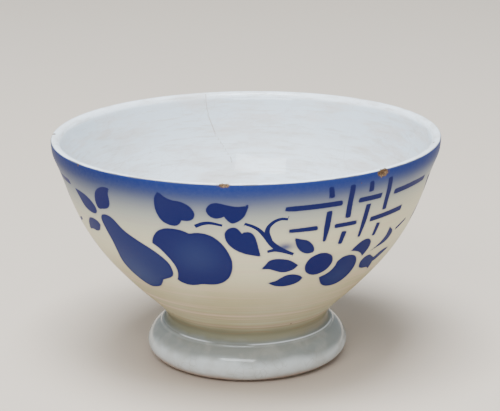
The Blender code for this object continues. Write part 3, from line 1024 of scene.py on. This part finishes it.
def make_body(settings):
    """The body: its section turned round the axis, then creased, tilted, let stray and chipped."""
    shape = settings.shape
    section, outside_from = body_section(shape, settings.foot)
    points, at = spaced(section, body_spacing(outside_from))
    run = at - outside_from
    bowl_rows = points[1:-1]
    angles = crowded_angles(shape.columns, [chip[0] for chip in CHIPS])
    grid = turn_round(bowl_rows, angles)
    along = directions(points)[1:-1]
    outward = np.column_stack((-along[:, 1], along[:, 0]))
    turn = np.radians(angles)[None, :]
    normals = np.stack((outward[:, 0, None] * np.sin(turn), -outward[:, 0, None] * np.cos(turn),
                        outward[:, 1, None] + 0.0 * turn), axis=-1)
    rows_run = run[1:-1]
    wall_rows = np.flatnonzero((rows_run > 0) & (bowl_rows[:, 1] > shape.neck_height + FILLET_TOP))
    height = bowl_rows[:, 1] / MM
    crease = sum(depth * np.exp(-((height - at_height) / half) ** 2) for at_height, depth, half in CREASES)
    crease *= rows_run > 0
    grid -= normals * (crease * MM)[:, None, None]
    share = np.clip((bowl_rows[:, 1] - shape.neck_height) / (shape.height - shape.neck_height), 0.0, 1.0)[:, None]
    stray = ripple(turn, bowl_rows[:, 1:], 7, 11) * shape.wobble * share
    grid += normals * stray[..., None]
    bare = bite_lip(grid, normals, rows_run, angles, shape.rim_radius)
    grid[..., 2] += shape.rim_tilt * grid[..., 0] * share
    piece = solid("bowl_body", grid, [(0.0, 0.0, points[0, 1]), (0.0, 0.0, points[-1, 1])])

    wall = Wall(bowl_rows, rows_run, angles, wall_rows)
    size = grid.shape[:2]
    distance, wash, smudge = stencil_layers(wall, size)
    whole = np.repeat(rows_run[:, None] / MM, size[1], axis=1)
    paint(piece, "run", whole, (run[0] / MM, run[-1] / MM))
    paint(piece, "stencil", distance, (STENCIL_MARGIN, STENCIL_MARGIN))
    paint(piece, "wash", wash, (0.0, 0.0))
    paint(piece, "smudge", smudge, (0.0, 0.0))
    paint(piece, "bare", bare, (FAR, FAR))
    for name, strokes in STROKES.items():
        paint(piece, name, stroke_layer(wall, size, strokes, REPEATS), np.zeros(6))
    inner_rows = np.flatnonzero((rows_run < -3 * MM) & (bowl_rows[:, 1] > 40 * MM))
    inner = Wall(bowl_rows, rows_run, angles, inner_rows)
    paint(piece, "crack", stroke_layer(inner, size, (CRACK,), ((0.0, -360.0),)), np.zeros(6))

    marks = []
    for angle, spot_height, spot_size in SPOTS:
        radius = wall.radius_at(spot_height) * MM
        turned = math.radians(angle)
        marks.append(((radius * math.sin(turned), -radius * math.cos(turned), spot_height * MM),
                      spot_size * MM))
    piece.data.materials.append(bowl_material(settings.glazes, marks))
    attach(piece, "root")
    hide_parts("bowl")


def make_foot(settings):
    """The foot ring: its section turned round the axis, slightly uneven."""
    foot = settings.foot
    section = foot_section(settings.shape, foot)
    edge = settings.shape.neck_radius + SHOULDER
    points, _ = spaced(section, lambda length, places: np.where(
        (np.abs(places[:, 0] - edge) < 0.8 * MM) & (places[:, 1] > 13 * MM), EDGE_SPACING, FOOT_SPACING),
        closed=True)
    angles = np.arange(foot.columns) * 360.0 / foot.columns - 180.0
    grid = turn_round(points, angles)
    turn = np.radians(angles)[None, :]
    share = np.clip(points[:, 1:] / (4 * MM), 0.0, 1.0) * np.clip((13 * MM - points[:, 1:]) / (4 * MM), 0.0, 1.0)
    stray = 1.0 + ripple(turn, points[:, 1:], 6, 5) * share * 0.12 * MM / foot.radius
    grid[..., :2] *= stray[..., None]
    piece = solid("foot_ring_body", grid)
    piece.data.materials.append(foot_material(settings.glazes))
    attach(piece, "root")
    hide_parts("foot_ring")


LIT = (0.0, 0.0, 0.05)      # the place all the lights face
FLOOR_REACH = 8.0


def area_light(name, power, width, height, place, tint):
    """A soft rectangular light at a place, facing the bowl."""
    lamp = bpy.data.lights.new(name, "AREA")
    lamp.shape = "RECTANGLE"
    lamp.energy, lamp.size, lamp.size_y, lamp.color = power, width, height, tint
    light = bpy.data.objects.new(name, lamp)
    bpy.context.scene.collection.objects.link(light)
    light.rotation_euler = (Vector(LIT) - Vector(place)).to_track_quat("-Z", "Y").to_euler()
    light.location = place


def make_stage(settings):
    """A wide pale floor, pale surroundings, soft lights and the camera."""
    studio = settings.studio
    mesh = bpy.data.meshes.new("studio_floor")
    mesh.from_pydata([(x * FLOOR_REACH, y * FLOOR_REACH, 0.0) for x, y in ((-1, -1), (1, -1), (1, 1), (-1, 1))],
                     [], [(0, 1, 2, 3)])
    mesh.materials.append(floor_material(studio))
    floor = bpy.data.objects.new("studio_floor", mesh)
    bpy.context.scene.collection.objects.link(floor)

    world = bpy.data.worlds.new("studio_air")
    world.use_nodes = True
    air = world.node_tree.nodes["Background"]
    air.inputs["Color"].default_value = (0.80, 0.92, 1.0, 1.0)
    air.inputs["Strength"].default_value = studio.sky
    bpy.context.scene.world = world

    area_light("key", studio.key_power, 1.0, 0.8, (-0.12, -0.32, 1.85), (0.80, 0.91, 1.0))
    area_light("fill", studio.fill_power, 3.2, 0.9, (-0.65, -2.1, 1.1), (0.90, 0.96, 1.0))
    area_light("window", studio.window_power, 1.5, 0.45, (-0.42, -1.82, 1.7), (0.88, 0.95, 1.0))

    lens = bpy.data.cameras.new("view")
    lens.sensor_width = 36.0
    lens.lens = studio.lens
    lens.clip_start, lens.clip_end = 0.01, 50.0
    camera = bpy.data.objects.new("view", lens)
    bpy.context.scene.collection.objects.link(camera)
    camera.matrix_world = (Matrix.Translation((0.0, -studio.distance, studio.eye))
                           @ Matrix.Rotation(-studio.yaw, 4, "Z")
                           @ Matrix.Rotation(math.pi / 2 - studio.pitch, 4, "X")
                           @ Matrix.Rotation(studio.roll, 4, "Z"))
    bpy.context.scene.camera = camera


# Operators

class Step:
    """One step of the build, with the scene's settings."""

    bl_options = {"REGISTER", "UNDO"}

    def execute(self, context):
        self.make(context.scene.coffee_bowl)
        return {"FINISHED"}


class COFFEE_BOWL_OT_body(Step, bpy.types.Operator):
    """Turn, chip, stencil and glaze the bowl's body"""

    bl_idname = "coffee_bowl.body"
    bl_label = "Bowl Body"
    make = staticmethod(make_body)


class COFFEE_BOWL_OT_foot(Step, bpy.types.Operator):
    """Turn and glaze the foot ring"""

    bl_idname = "coffee_bowl.foot"
    bl_label = "Foot Ring"
    make = staticmethod(make_foot)


class COFFEE_BOWL_OT_stage(Step, bpy.types.Operator):
    """Set the floor, the lights and the camera"""

    bl_idname = "coffee_bowl.stage"
    bl_label = "Stage"
    make = staticmethod(make_stage)


class COFFEE_BOWL_PT_sidebar(bpy.types.Panel):
    """Lists the bowl's pieces and the sizes that make them"""

    bl_label = "Coffee Bowl"
    bl_idname = "COFFEE_BOWL_PT_sidebar"
    bl_space_type = "VIEW_3D"
    bl_region_type = "UI"
    bl_category = "Coffee Bowl"

    def draw(self, context):
        settings = context.scene.coffee_bowl
        for operator, group in ((COFFEE_BOWL_OT_body, settings.shape), (COFFEE_BOWL_OT_foot, settings.foot),
                                (COFFEE_BOWL_OT_stage, settings.studio)):
            box = self.layout.box()
            box.operator(operator.bl_idname)
            for name in group.__annotations__:
                box.prop(group, name)


CLASSES = (BowlShape, FootShape, GlazeColours, Studio, CoffeeBowl, COFFEE_BOWL_OT_body, COFFEE_BOWL_OT_foot,
           COFFEE_BOWL_OT_stage, COFFEE_BOWL_PT_sidebar)


def register():
    for item in CLASSES:
        bpy.utils.register_class(item)
    bpy.types.Scene.coffee_bowl = PointerProperty(type=CoffeeBowl)


def unregister():
    del bpy.types.Scene.coffee_bowl
    for item in reversed(CLASSES):
        bpy.utils.unregister_class(item)


def main():
    register()
    bpy.ops.coffee_bowl.body()
    bpy.ops.coffee_bowl.foot()
    bpy.ops.coffee_bowl.stage()


if __name__ == "__main__":
    main()
